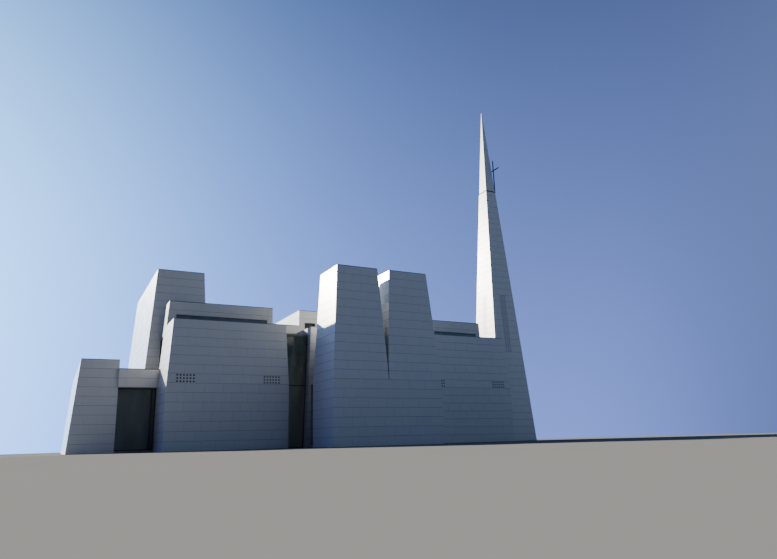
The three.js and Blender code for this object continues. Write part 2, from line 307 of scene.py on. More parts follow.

# %% [markdown]
# The tall panes are dark, with a thin film of dust on them, and the slot's panes are pale with
# dust low down. The long strip windows and the link's pane are bluer. The small window of the
# high hall is the darkest, and that is painted shade: a darker copy of the glass that offsets
# the light the sunlit walls round it throw on it. A pane is one thick slab with nothing behind
# it but plaster, so the look is mixed: mostly a dark glossy surface, with a little see-through,
# and a shallow bump that bends what it mirrors.

# %% Glass
SPLASH_TOP = 7.0  # the height at which the splashed dust has gone


def glazing(name, clear, dusty, body, shine=0.5, splashed=0.0):
    pane = Finish(name, IOR=1.52, Specular_IOR_Level=shine)
    dust = pane.range(pane.noise(0.9, (1, 1, 0.3), 5.0), 0.35, 0.9)
    splash = pane.range(pane.height(), 0.0, SPLASH_TOP, splashed, 0.0)
    pane.set(Base_Color=pane.blend(dust * 0.6 + splash, clear, dusty))
    pane.set(Roughness=0.03 + dust * 0.07)
    pane.set(Alpha=body + dust * 0.1)
    pane.bump(pane.noise(1.4, detail=0.0), 0.002)
    return pane.material


TALL_GLASS = glazing("tall_glass", (0.19, 0.22, 0.20, 1), (0.29, 0.31, 0.28, 1), body=0.72)
SLOT_GLASS = glazing("slot_glass", (0.05, 0.08, 0.08, 1), (0.54, 0.57, 0.49, 1), body=0.78,
                     splashed=0.9)
# dark_glass is painted shade: a darker copy of the glass for the hall window, which gets more
# light from the sunlit walls round it.
DARK_GLASS = glazing("dark_glass", (0.02, 0.026, 0.026, 1), (0.05, 0.056, 0.056, 1), body=0.8,
                     shine=0.15)
BLUE_GLASS = glazing("blue_glass", (0.10, 0.15, 0.24, 1), (0.155, 0.205, 0.295, 1), body=0.88)
PALE_GLASS = glazing("pale_glass", (0.17, 0.235, 0.34, 1), (0.25, 0.31, 0.41, 1), body=0.88)
print("made five kinds of glass")

# %% [markdown]
# Every CAD node keeps its shape and only gets a finish. A few are named one by one, and the
# others are known by a word in their names. Behind the tiles a wall is plain plaster, which
# is what its inner faces show through the glass.

# %% Finishes for the CAD nodes
FINISH_OF = {
    "spire_ring": IRON_AND_GAP_SHADE, "spire_cross": IRON_AND_GAP_SHADE, "spire_cap": WHITE_METAL, "slot_roof": COPING,
    "left_strip_window": BLUE_GLASS, "hall_strip_window": PALE_GLASS, "link_glass": PALE_GLASS,
    "slot_screen": SLOT_GLASS, "right_block_slot_window": SLOT_GLASS,
    "hall_window": DARK_GLASS, "portal_screen": TALL_GLASS,
}


def node_finish(name):
    if name in FINISH_OF:
        return FINISH_OF[name]
    if "floor" in name:
        return STONE
    return MEMBRANE if "roof" in name else PLASTER


for name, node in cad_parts.items():
    node.data.materials.clear()
    node.data.materials.append(node_finish(name))
print("dressed", len(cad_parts), "CAD nodes")

# %% [markdown]
# ## What a wall can see
# Only walls in the open air are tiled. To find them, a point just off a wall looks round
# it: if no line of sight escapes past the other solids, the point is inside a room or
# behind a wall that butts against it. Blender's BVH, a sorted index of faces, answers fast.

# %% Lines of sight
WELD = 1e-5  # corners nearer than this become one
RISES = (0.02, 0.5, 1.1)  # angles above the horizon, in radians
TURNS = [i * math.tau / 16 + 0.05 for i in range(16)]  # angles round about
LOOKS = [Vector((math.cos(turn) * math.cos(rise), math.sin(turn) * math.cos(rise),
                 math.sin(rise))) for rise in RISES for turn in TURNS]


def copy_of(names):
    """The meshes of some CAD nodes, copied into one and welded."""
    body = bmesh.new()
    for name in names:
        body.from_mesh(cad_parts[name].data)
    bmesh.ops.remove_doubles(body, verts=body.verts, dist=WELD)
    return body


def index_of(names):
    """The faces of some CAD nodes, ready to be hit by lines of sight."""
    body = copy_of(names)
    index = BVHTree.FromBMesh(body)
    body.free()
    return index


SOLIDS = index_of(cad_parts)
ROOFS = index_of([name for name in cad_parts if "roof" in name])
print("lines of sight from each point:", len(LOOKS))

# %% [markdown]
# A wall can be half hidden, so a face is asked at several points, spread over it through
# the triangles of its fan. It is in the open air if any of them is. The back of a parapet
# is in the open air too, but it gets membrane and not tiles, so it is told apart by the
# roof close below it.

# %% Faces in the open air
OFF_WALL, OFF_PARAPET = 0.03, 0.05  # how far in front of them the eye is
BESIDE = -0.05  # a line of sight may lean back this little past the wall
REACH = 0.32  # a roof is below a parapet's back within this
THIRD = 0.33  # a point is set this part of a step in from the side


def in_open_air(point, normal):
    eye = point + normal * OFF_WALL
    ahead = (look for look in LOOKS if look.dot(normal) > BESIDE)
    return any(SOLIDS.ray_cast(eye, look)[0] is None for look in ahead)


def points_on(face, count):
    """Points spread over a face, `count` along each side of each triangle of its fan."""
    start, *others = [v.co for v in face.verts]
    for b, c in zip(others, others[1:]):
        for j in range(count):
            for k in range(count - j):
                across, along = (j + THIRD) / count, (k + THIRD) / count
                yield start + (b - start) * across + (c - start) * along


def seen(face, count):
    """True where any point of a face is in the open air."""
    return any(in_open_air(p, face.normal) for p in points_on(face, count))


def over_roof(face):
    """True for the back of a parapet, close above a roof."""
    eye = face.calc_center_median() + face.normal * OFF_PARAPET
    return ROOFS.ray_cast(eye, -UP, REACH)[0] is not None


print("a face is seen if one of its points sees the sky")

# %% [markdown]
# ## The tiles
# The outside of a block is one welded sheet made from its CAD walls. Level planes cut it
# into courses, then upright planes cut each course into tiles, in a running bond whose
# lengths change a little, as on the real walls. Each tile is inset by half a joint and
# raised, so the joint is a real groove and the corners of the block close by themselves.
# A texture could draw the joints with less work, but it would look painted on from near by.

# %% The outer sheet of a block
LEVEL = 0.9  # a face whose normal rises or falls by more than this is level
LOW = 0.1  # metres: a level face below this is the foot of a wall
STEP = 0.0008  # metres: edges of two walls this near each other are welded
FLAT = 0.01  # radians: faces that meet at less than this become one


def drop(sheet, unwanted):
    gone = [f for f in sheet.faces if unwanted(f)]
    bmesh.ops.delete(sheet, geom=gone, context="FACES")


def add_copy(sheet, other):
    passing = bpy.data.meshes.new("passing")
    other.to_mesh(passing)
    other.free()
    sheet.from_mesh(passing)
    bpy.data.meshes.remove(passing)


def outer_sheet(names, soffits=False):
    """The outside of some walls, without their tops and feet."""
    sheet = bmesh.new()
    for name in names:
        wall = copy_of([name])
        drop(wall, lambda f: f.normal.z > LEVEL or (f.normal.z < -LEVEL and not soffits))
        drop(wall, lambda f: f.normal.z < -LEVEL and f.calc_center_median().z < LOW)
        drop(wall, lambda f: not seen(f, 8))
        add_copy(sheet, wall)
    bmesh.ops.remove_doubles(sheet, verts=sheet.verts, dist=STEP)
    bmesh.ops.dissolve_limit(sheet, angle_limit=FLAT, verts=sheet.verts, edges=sheet.edges)
    return sheet


print("a sheet leaves out level faces, but for a soffit that is seen from below")

# %% [markdown]
# A cut is a plane that bisects some of the faces, and it marks the edges it makes, because
# only those are joints. The courses are cut first, all the way round. Then the faces are
# sorted by wall and course, as upright joints run through one course only.

# %% Cutting
FINE = 50  # two walls differ if their normals or places do by 1 / FINE


def cut(sheet, faces, point, normal):
    """Cuts some faces by a plane and marks the cut as a joint."""
    joint = sheet.edges.layers.int.get("joint") or sheet.edges.layers.int.new("joint")
    edges = {e for f in faces for e in f.edges}
    corners = {v for f in faces for v in f.verts}
    done = bmesh.ops.bisect_plane(sheet, geom=[*faces, *edges, *corners], dist=WELD,
                                  plane_co=point, plane_no=normal)
    for thing in done["geom_cut"]:
        if isinstance(thing, bmesh.types.BMEdge):
            thing[joint] = 1
    return [f for f in done["geom"] if isinstance(f, bmesh.types.BMFace)]


def cut_courses(sheet):
    top = max(v.co.z for v in sheet.verts)
    for row in range(1, math.ceil(top / COURSE)):
        cut(sheet, sheet.faces[:], UP * row * COURSE, UP)


def sideways(face):
    """The level direction along a wall. A soffit has none, so it gets that of the fronts."""
    side = UP.cross(face.normal)
    return side.normalized() if side.length > 0.1 else Vector((1, 0, 0))


def rows_of(sheet):
    """The faces of each course on each flat wall."""
    rows = {}
    for face in sheet.faces:
        middle = face.calc_center_median()
        plane = [round(v * FINE) for v in (*face.normal, middle.dot(face.normal))]
        rows.setdefault((*plane, int(middle.z // COURSE)), []).append(face)
    return rows


print("courses are cut every", COURSE, "m")

# %% [markdown]
# A joint must not run through a group of vents, and it should meet the corner of an opening
# or the foot of the cleft, as a tiler would set it out. So each course first gets the joints
# that it must have, and then the free ones, which keep their distance from those. A course
# that is hardly longer than a tile stays whole.

# %% Setting out the upright joints
LENGTHS = [1.2, 1.2, 1.2, 1.2, 1.05, 0.9, 1.35]  # of tiles, the usual one most often
NARROW = 1.5  # a course shorter than this is one tile
CLEAR = 0.2  # a free joint keeps this far from what is there
END = 0.1  # a joint this near the end of a course is left out
INNER = 0.02  # a corner this far from both level joints lies within the course
FIRST = (1.2, 0.62)  # the first tile of an even and of an odd course, for the bond
SHIFT = (-0.2, 0.1)  # which is this much longer or shorter
SAME_WAY = 0.97  # two normals this well lined up face the same way


def set_out(faces, row, wholes):
    """Where the upright joints of one course go, along its wall."""
    side, corners = sideways(faces[0]), [v.co for f in faces for v in f.verts]
    stops = sorted({round(co.dot(side), 3) for co in corners})
    low, high = stops[0], stops[-1]
    inner = [co for co in corners if INNER < co.z - row * COURSE < COURSE - INNER]
    must = {round(co.dot(side), 3) for co in inner}
    for facing, start, end, rows in wholes:
        if row in rows and faces[0].normal.dot(facing) > SAME_WAY:
            must |= {start, end}
            stops += [start + END * i for i in range(int((end - start) / END))]
    must = sorted(m for m in must if low + END < m < high - END)
    if high - low < NARROW:
        return side, must
    dice = random.Random(f"{faces[0].normal.x:.1f} {faces[0].normal.y:.1f} {row} {low:.1f}")
    spot, free = low + FIRST[row % 2] + dice.uniform(*SHIFT), []
    while spot < high - CLEAR:
        if all(abs(spot - stop) > CLEAR for stop in [*stops, *must]):
            free.append(spot)
        spot += dice.choice(LENGTHS)
    return side, must + free


def cut_tiles(sheet, wholes):
    for key, faces in sorted(rows_of(sheet).items(), key=lambda row: row[0]):
        side, spots = set_out(faces, key[-1], wholes)
        for spot in spots:
            faces = cut(sheet, faces, side * spot, side)


print("lengths of tiles:", LENGTHS)

# %% [markdown]
# The CAD walls are triangles, and some of their edges are left on the sheet beside a window
# or a step. They are no joints, so they are dissolved wherever the two faces are in one
# plane. What is left is a face for every tile. Where two walls meet, the tiles of both
# stand proud, and their corners are moved onto the line where the two glazed faces meet.

# %% From faces to tiles
JOINT = 0.014  # between two courses
CLOSE = 0.006  # between two tiles of a course
PROUD = 0.014  # how far a tile stands in front of the wall
ONE_PLANE = 0.005  # radians: faces that meet at less than this are one tile


def forget_triangles(sheet):
    """Dissolves the edges that aren't joints."""
    joint = sheet.edges.layers.int["joint"]
    loose = [e for e in sheet.edges if not e[joint] and len(e.link_faces) == 2
             and e.calc_face_angle(1) < ONE_PLANE]
    bmesh.ops.dissolve_edges(sheet, edges=loose, use_verts=False)


def mitre(raised, foot, wall, other):
    """Moves a tile's corner onto the line where the tiles of two walls meet."""
    inward = wall.cross((foot.verts[1].co - foot.verts[0].co).normalized())
    for vert in raised:
        base = min(foot.verts, key=lambda v: (v.co - vert.co).length).co
        reach = (PROUD - (vert.co - base).dot(other)) / inward.dot(other)
        vert.co += inward * reach


# %% [markdown]
# The sloping sides of a raised tile are its joints. They take the dark or the pale grout by
# the way they face, and the upright joints are drawn together, as they are the narrow ones.
# At a corner of the block there is no joint, so the slope there is deleted and the two
# mitred edges are welded. Last, every tile gets its own number from the kiln.

# %% Raising the tiles
DARK, PALE, BLACK = 1, 2, 3  # material numbers; the tiles are 0
BEND = 0.5  # radians: walls that meet at more than this make a corner
HALFWAY = 0.7  # between facing sideways and facing up or down
MEETING = 0.003  # metres: the mitred edges of two tiles are this near each other


def raise_tiles(sheet, dice):
    """Turns every face of a sheet into a tile with its joints."""
    kiln = sheet.faces.layers.float.new(KILN)
    joint = sheet.edges.layers.int["joint"]
    tiles = sheet.faces[:]
    walls = {tile: tile.normal.copy() for tile in tiles}
    corners = {e: [f.normal.copy() for f in e.link_faces] for e in sheet.edges
               if not e[joint] and len(e.link_faces) == 2 and e.calc_face_angle(0) > BEND}
    inset = bmesh.ops.inset_individual(sheet, faces=tiles, thickness=JOINT / 2, depth=PROUD,
                                       use_even_offset=True)
    closed = []
    for slope in inset["faces"]:
        tile = next((f for e in slope.edges for f in e.link_faces if f in walls), None)
        if not tile:
            continue
        wall, foot = walls[tile], next((e for e in slope.edges if e in corners), None)
        outward = slope.normal - wall * slope.normal.dot(wall)
        raised = [v for v in slope.verts if tile in v.link_faces]
        level = abs(outward.z) > outward.length * HALFWAY
        slope.material_index = DARK if level else PALE
        if foot:
            mitre(raised, foot, wall, min(corners[foot], key=lambda n: n.dot(wall)))
            closed.append(slope)
        elif not level and len(slope.verts) == 4:
            for vert in raised:
                vert.co += outward.normalized() * ((JOINT - CLOSE) / 2)
    bmesh.ops.delete(sheet, geom=closed, context="FACES")
    bmesh.ops.remove_doubles(sheet, verts=sheet.verts, dist=MEETING)
    tiles = [f for f in sheet.faces if not f.material_index]
    for tile in tiles:
        tile[kiln] = dice.random()
    return tiles


print("tile maker ready")

# %% [markdown]
# A finished mesh becomes an object at the origin, unturned and unscaled, because its place
# is in its mesh, as a CAD node's is. It rides on the building's one body.


# %% From a mesh to a piece
def put_in_scene(name, data):
    thing = bpy.data.objects.new(name, data)
    bpy.context.scene.collection.objects.link(thing)
    return thing


def keep(source, name, finishes):
    """Makes a piece of a mesh. Its faces choose among the finishes by their number."""
    mesh = bpy.data.meshes.new(name)
    source.to_mesh(mesh)
    source.free()
    piece = put_in_scene(name, mesh)
    for finish in finishes:
        mesh.materials.append(finish)
    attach(piece, "root")
    mesh.calc_loop_triangles()
    print(f"{name}: {len(mesh.loop_triangles)} triangles")


# %% [markdown]
# ## Vents and louvres
# Small square holes in neat rows pierce some tiles: three rows of six beside the corners of the
# low blocks, and two tall bands on the spire, where bells would hang. They are cut through the
# finished tile faces with a plane on each side of each hole, and the little faces between the
# planes are sunk and turned black: painted shade, standing for the dark depth of a real hole.

# %% Small square holes
LIP = 0.002  # the sides of a hole slope in by this much
BACK = 0.004  # its black back stays this far in front of the wall


def meets(face, side, low, high):
    """True where a face overlaps a window of (along, height) on its wall."""
    reach = [(v.co.dot(side), v.co.z) for v in face.verts]
    return all(max(r[i] for r in reach) > low[i] and min(r[i] for r in reach) < high[i]
               for i in (0, 1))


def pierce(sheet, facing, spots, rows, size):
    """Sinks square holes at every spot along each row of one flat wall."""
    side, half = UP.cross(facing).normalized(), size / 2
    for row in rows:
        low, high = (min(spots) - half, row - half), (max(spots) + half, row + half)
        band = [f for f in sheet.faces if not f.material_index
                and f.normal.dot(facing) > SAME_WAY and meets(f, side, low, high)]
        for level in (row - half, row + half):
            band = cut(sheet, band, UP * level, UP)
        band = [f for f in band if abs(f.calc_center_median().z - row) < half]
        for edge in [spot + by for spot in spots for by in (-half, half)]:
            band = cut(sheet, band, side * edge, side)
        holes = [f for f in band
                 if any(abs(f.calc_center_median().dot(side) - spot) < half for spot in spots)]
        sunk = bmesh.ops.inset_individual(sheet, faces=holes, thickness=LIP,
                                          depth=BACK - PROUD)
        # The black back is painted shade for the hole's depth.
        for face in [*holes, *sunk["faces"]]:
            face.material_index = BLACK


print("a hole is", round(PROUD - BACK, 3), "m deep")

# %% [markdown]
# ## Tiling the blocks
# Each entry is one block: its CAD walls, welded together so that courses run round the
# corners.

# %% The walls of each block
BLOCKS = {
    "wing": ["wing_front_wall", "wing_left_wall", "wing_right_wall", "wing_back_wall"],
    "portal": ["portal_lintel", "lobby_back_wall"],
    "left_block": ["left_block_front_wall", "left_block_left_wall", "left_block_right_wall",
                   "left_block_back_wall", "left_clerestory_wall", "link_roof"],
    "tall_block": ["tall_block_front_wall", "tall_block_left_wall", "tall_block_right_wall",
                   "tall_block_back_wall"],
    "right_block": ["right_block_inner_wall", "right_block_left_wall", "right_block_front_wall",
                    "right_block_right_wall", "hall_front_wall", "hall_upper_left_wall",
                    "hall_back_wall", "hall_left_wall"],
    "tower": ["tower_front_wall", "tower_back_wall", "tower_left_wall", "tower_right_wall",
              "cleft_left_wall", "cleft_right_wall", "tower_neck"],
    "spire": ["spire_shell"],
    "passage": ["spire_link"],
}
print("blocks to tile:", len(BLOCKS))

# %% [markdown]
# The holes of a block are listed by the way their wall faces, where they are along it, how
# high, and how wide. They stand three to a course. The tile that a group of holes pierces
# stays whole: it reaches a little past them, and a wide group gets a tile of full length,
# which is twice a course.

# %% The holes of each block
FRONT = Vector((0, -1, 0.12)).normalized()  # the way the leaning fronts face
SPIRE_FRONT = Vector((0, -1, 0.069)).normalized()
SPIRE_LEFT = Vector((-1, 0, 0.0645)).normalized()
VENT_ROWS = [4.30, 4.50, 4.70]
VENT, LOUVRE = 0.1, 0.09  # width of a hole


def evenly(first, last, count):
    """Spots at equal distances, both ends included."""
    return [first + (last - first) * i / (count - 1) for i in range(count)]


HOLES = {  # facing, spots along the wall, rows, size
    "left_block": [
        (FRONT, evenly(-12.706, -11.683, 6), VENT_ROWS, VENT),
        (FRONT, evenly(-7.05, -6.05, 6), VENT_ROWS, VENT),
    ],
    "right_block": [
        (FRONT, [7.051, 7.253], VENT_ROWS, VENT),
        (FRONT, evenly(11.957, 12.98, 6), VENT_ROWS, VENT),
    ],
    "spire": [
        (SPIRE_FRONT, [16.41, 16.63, 16.85], evenly(7.9, 13.1, 27), LOUVRE),
        (SPIRE_LEFT, [2.72, 2.92, 3.12], evenly(9.7, 13.1, 18), LOUVRE),
    ],
}


def whole_tiles(holes):
    """The stretches of wall, with their courses, that groups of holes keep in one tile."""
    for facing, spots, rows, _ in holes:
        middle, spread = (min(spots) + max(spots)) / 2, (max(spots) - min(spots)) / 2
        half = max(COURSE, spread + 0.1) if len(spots) > 3 else spread + 0.15
        courses = range(int(min(rows) / COURSE), int(max(rows) / COURSE) + 1)
        yield facing, round(middle - half, 3), round(middle + half, 3), courses


print("groups of holes:", sum(len(groups) for groups in HOLES.values()))

# %% [markdown]
# Now each block goes through the same steps: sheet, courses, tiles, and holes. The backs
# of parapets are dropped before the tiles are raised, and so are the tiles that butt
# against another block, which nothing can see.

# %% Tile every block
total = 0
for block, walls in BLOCKS.items():
    holes = HOLES.get(block, [])
    sheet = outer_sheet(walls, soffits=block == "portal")
    cut_courses(sheet)
    cut_tiles(sheet, list(whole_tiles(holes)))
    forget_triangles(sheet)
    drop(sheet, lambda f: over_roof(f) or not seen(f, 2))
    total += len(raise_tiles(sheet, random.Random(block)))
    for facing, spots, rows, size in holes:
        pierce(sheet, facing, spots, rows, size)
    keep(sheet, block + "_tiles", [PORCELAIN, OPEN_JOINT, PALE_GROUT, HOLE])
print("tiles in all:", total)

# %% [markdown]
# ## Flat pieces
# Copings, sills, frames and the step are all flat things with a small thickness. Each is
# drawn as a flat face first, which is easy to cut and inset, and thickened last. Two
# helpers do that for all of them: one makes a face from its outline, and one makes a board
# of a face and takes the sharpness off its edges.

# %% Flat faces and their thickness
SOFT_EDGE = 0.006  # the widest bevel
SHARP = 0.8  # radians: an edge that turns by more than this is bevelled
CLEARANCE = 0.001  # a piece lies this far off what carries it


def plan_face(outline):
    flat = bmesh.new()
    face = flat.faces.new([flat.verts.new(co) for co in outline])
    face.normal_update()
    if face.normal.z < 0:
        face.normal_flip()
    return flat


def rectangle(x0, y0, x1, y1, level):
    return [Vector((x, y, level)) for x, y in ((x0, y0), (x1, y0), (x1, y1), (x0, y1))]


def thicken(flat, up):
    """Gives flat faces a thickness and takes the sharpness off their edges."""
    grown = bmesh.ops.extrude_face_region(flat, geom=flat.faces[:], use_keep_orig=True)["geom"]
    corners = [v for v in grown if isinstance(v, bmesh.types.BMVert)]
    bmesh.ops.translate(flat, vec=up, verts=corners)
    bmesh.ops.recalc_face_normals(flat, faces=flat.faces[:])
    sharp = [e for e in flat.edges if len(e.link_faces) == 2 and e.calc_face_angle(0) > SHARP]
    bmesh.ops.bevel(flat, geom=sharp, offset=min(SOFT_EDGE, up.length / 4),
                    offset_type="OFFSET", affect="EDGES", segments=2, profile=0.5, material=-1)


print("edges are softened by up to", SOFT_EDGE, "m")

# %% [markdown]
# The cleft of the tower narrows to a point between two tiled edges. Its foot is too thin to be
# tiled, so a near-black plate fills it: painted shade, standing for the shadow deep in the foot
# of the cleft. It is one long thin face that lies on the slope of the front, thickened a
# little.

# %% Painted shade in the foot of the cleft
CLEFT_FOOT = Vector((-0.046, -12.611, 4.32))  # the point where the cleft begins
SLOPE = 0.13  # how far the front leans back, per metre of height
CLEFT_SHADE_OUTLINE = [(-0.015, -0.11), (0.015, -0.11), (0.057, 0.7), (-0.005, 0.7)]  # (x, height)


def on_the_front(x, height):
    return CLEFT_FOOT + Vector((x, SLOPE * height, height)) + FRONT * (PROUD + CLEARANCE)


cleft_shade_plate = plan_face([on_the_front(x, height) for x, height in CLEFT_SHADE_OUTLINE])
thicken(cleft_shade_plate, FRONT * 0.003)
keep(cleft_shade_plate, "cleft_painted_shade", [CLEFT_SHADE])

# %% [markdown]
# ## Copings
# A parapet ends in a folded metal cap that throws the rain clear of the tiles. Its plan is
# the block's outline, pushed out a little. Insetting that one face by the wall's width
# leaves a ring with mitred corners, and thickening the ring gives the cap. Where a higher
# wall stands on one side, the ring stays open there.

# %% Caps for the parapets
RISE = 0.045  # thickness of a cap


def cap(name, outline, open_side=None, width=WALL, over=0.03):
    """A ring of folded metal on an outline, open past a (direction, limit) if one is given."""
    ring = plan_face(outline)
    bmesh.ops.inset_region(ring, faces=ring.faces[:], thickness=over, use_outset=True,
                           use_boundary=True, use_even_offset=True)
    bmesh.ops.dissolve_faces(ring, faces=ring.faces[:])
    plan = ring.faces[:]
    bmesh.ops.inset_region(ring, faces=plan, thickness=width + 2 * over, use_boundary=True,
                           use_even_offset=True)
    bmesh.ops.delete(ring, geom=plan, context="FACES")
    if open_side:
        way, limit = Vector(open_side[0]), open_side[1]
        drop(ring, lambda f: f.calc_center_median().dot(way) > limit)
    bmesh.ops.translate(ring, vec=UP * CLEARANCE, verts=ring.verts[:])
    thicken(ring, UP * RISE)
    keep(ring, name + "_coping", [COPING])


def corner_at(names, level, toward):
    """The corner of some CAD nodes, at one height, that lies furthest in a direction."""
    spots = [v.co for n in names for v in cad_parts[n].data.vertices
             if abs(v.co.z - level) < 0.01]
    return max(spots, key=lambda co: co.x * toward[0] + co.y * toward[1]).copy()


def outline_of(names, level):
    """Four corners: front left, front right, back right, back left."""
    return [corner_at(names, level, toward) for toward in ((-1, -1), (1, -1), (1, 1), (-1, 1))]


print("cap maker ready")

# %% [markdown]
# The plain blocks take their outline from the corners of their CAD walls. The stepped ones are
# set out one by one, from the upright face of the high hall. The tops are all a whole number of
# courses.

# %% Cap the left side and the hall
HALL_Y = -4.473  # the upright face of the high hall
BEHIND = HALL_Y + 0.33  # where a low parapet dies into the hall's wall
INTO_HALL = ((0, 1, 0), HALL_Y - 0.1)  # the open side of a ring that ends there
WING_TOP, LOW_TOP, HIGH_TOP, TALL_TOP = 10 * COURSE, 14 * COURSE, 17 * COURSE, 22 * COURSE
SLOT_TOP = 15 * COURSE  # of the hall, behind the glazed slot
cap("wing", outline_of(BLOCKS["wing"], WING_TOP))
cap("tall_block", outline_of(BLOCKS["tall_block"], TALL_TOP))
left, right, back, _ = outline_of(["left_block_back_wall"], HIGH_TOP)
cap("left_high", rectangle(left.x, HALL_Y, right.x, back.y, HIGH_TOP))
left, right, *_ = outline_of(["left_block_front_wall"], LOW_TOP)
cap("left_low", rectangle(left.x, left.y, right.x, BEHIND, LOW_TOP), INTO_HALL)
left, right, *_ = outline_of(["right_block_front_wall"], LOW_TOP)
cap("right_low", rectangle(-3.552, left.y, right.x, BEHIND, LOW_TOP), INTO_HALL)
_, _, back, _ = outline_of(["hall_back_wall"], HIGH_TOP)
cap("hall", rectangle(-3.39, HALL_Y, back.x, back.y, HIGH_TOP))
left, *_ = outline_of(["hall_left_wall"], SLOT_TOP)
cap("hall_low", rectangle(left.x + WALL, HALL_Y, -3.06, 5.067, SLOT_TOP), ((1, 0, 0), -3.8))
print("tops at", [round(top, 1) for top in (WING_TOP, LOW_TOP, SLOT_TOP, HIGH_TOP, TALL_TOP)])

# %% [markdown]
# The tower has two heads, one each side of the cleft, and each gets its own cap. The neck,
# the passage to the spire and the lintel are narrow, so their caps are narrow too.

# %% Cap the tower and the small roofs
TOWER_TOP = 20 * COURSE
front_left, front_right, *_ = outline_of(["tower_front_wall"], TOWER_TOP)
_, _, back, _ = outline_of(["tower_back_wall"], TOWER_TOP)
_, cleft_start, *_ = outline_of(["cleft_left_wall"], TOWER_TOP)
cleft_end, *_ = outline_of(["cleft_right_wall"], TOWER_TOP)
cap("tower_left", rectangle(front_left.x, front_left.y, cleft_start.x, back.y, TOWER_TOP))
cap("tower_right", rectangle(cleft_end.x, front_left.y, front_right.x, back.y, TOWER_TOP))
cap("neck", rectangle(-2.04, -8.83, 2.56, -7.474, 13 * COURSE), width=0.1)
cap("passage", rectangle(13.8, -3.873, 14.89, -1.773, 6 * COURSE), width=0.1, over=0.01)
cap("lintel", outline_of(["portal_lintel"], 9 * COURSE), width=0.16, over=0.012)
print("the cleft is", round(cleft_end.x - cleft_start.x, 3), "m wide at the top")

# %% [markdown]
# ## Roof coverings
# A flat roof is closed with sheets of membrane about a metre wide. Each sheet laps over the
# next, and at the edges the membrane is turned up against the parapet. The sheets are the
# roof's own top face cut into lanes, each raised by its thickness, and the upturn is the
# rim of the same face, extruded.

# %% Membrane sheets and upturns
LANE = 1.06  # width of one sheet
LAP = 0.03  # the sloping edge of a sheet
THICK = 0.006  # of a sheet
UPTURN, LOW_UPTURN = 0.2, 0.08  # height of the membrane against a parapet or a coping
RIM = 0.02  # thickness of the upturn
WALLED_ROOFS = ("wing_roof", "lobby_roof", "left_block_low_roof", "left_block_high_roof",
                "tall_block_roof", "right_block_low_roof", "hall_low_roof", "hall_high_roof",
                "tower_left_roof", "tower_right_roof")


def roof_top(name):
    top = copy_of([name])
    drop(top, lambda f: f.normal.z < LEVEL)
    bmesh.ops.dissolve_limit(top, angle_limit=FLAT, verts=top.verts, edges=top.edges)
    return top


def cover(name, upturn):
    """Covers a roof with lanes of membrane, turned up at its edges."""
    sheets = roof_top(name)
    low, high = (pick(v.co.y for v in sheets.verts) for pick in (min, max))
    for lane in range(1, math.ceil((high - low) / LANE)):
        cut(sheets, sheets.faces[:], Vector((0, low + lane * LANE, 0)), Vector((0, 1, 0)))
    bmesh.ops.inset_individual(sheets, faces=sheets.faces[:], thickness=LAP, depth=THICK,
                               use_even_offset=True)
    if upturn:
        rim = roof_top(name)
        middle = rim.faces[:]
        bmesh.ops.inset_region(rim, faces=middle, thickness=RIM, use_boundary=True,
                               use_even_offset=True)
        bmesh.ops.delete(rim, geom=middle, context="FACES")
        thicken(rim, UP * upturn)
        add_copy(sheets, rim)
    keep(sheets, name + "_covering", [MEMBRANE])


for name in WALLED_ROOFS:
    cover(name, LOW_UPTURN if name == "lobby_roof" else UPTURN)
for name in ("link_roof", "tower_neck", "spire_link"):
    cover(name, 0)
print("roofs covered")

# %% [markdown]
# Rain leaves each roof through an outlet with a domed strainer. A profile of the dome is
# spun round the upright axis, once for each outlet, all in one mesh.

# %% Roof outlets
OUTLETS = [  # (x, y, roof height)
    (-16.9, -2.6, 5.7), (-16.9, 10.6, 5.7), (-9.2, -6.3, 8.1), (-9.2, -3.7, 9.9),
    (-11.8, 0.2, 12.9), (-11.8, 9.2, 12.9), (-1.2, -5.6, 8.1), (9.5, -5.6, 8.1),
    (-1.6, -3.2, 9.9), (-1.6, 3.6, 9.9), (11.6, -3.2, 9.9), (11.6, 3.6, 9.9),
    (-4.4, 3.4, 8.7), (-1.8, -10.2, 11.7), (2.2, -10.2, 11.7),
]
DOME = [  # (radius, height), from the rim to the crown
    (0.15, 0.006), (0.15, 0.016), (0.11, 0.026), (0.10, 0.07), (0.06, 0.105), (0.0, 0.115),
]
outlets = bmesh.new()
for x, y, roof in OUTLETS:
    line = [outlets.verts.new((x + radius, y, roof + height)) for radius, height in DOME]
    edges = [outlets.edges.new(pair) for pair in zip(line, line[1:])]
    bmesh.ops.spin(outlets, geom=[*line, *edges], cent=(x, y, roof), axis=UP,
                   angle=math.tau, steps=14, use_merge=True)
bmesh.ops.remove_doubles(outlets, verts=outlets.verts, dist=1e-4)
bmesh.ops.recalc_face_normals(outlets, faces=outlets.faces[:])
keep(outlets, "roof_outlets", [FRAMES])

# %% [markdown]
# ## Window frames
# Every pane sits in a slim dark frame. The frame is drawn on the pane itself: the face of
# the CAD pane is inset for the outer frame, cut where a post or a rail crosses, and inset
# again. The panes between are deleted, and what is left is thickened towards the outside.
# A frame made this way fits a leaning opening as well as a square one.

# %% Frames on the panes
STAND = 0.05  # how far a frame stands out from its pane
SOUTH, WEST = Vector((0, -1, 0)), Vector((-1, 0, 0))  # front and left


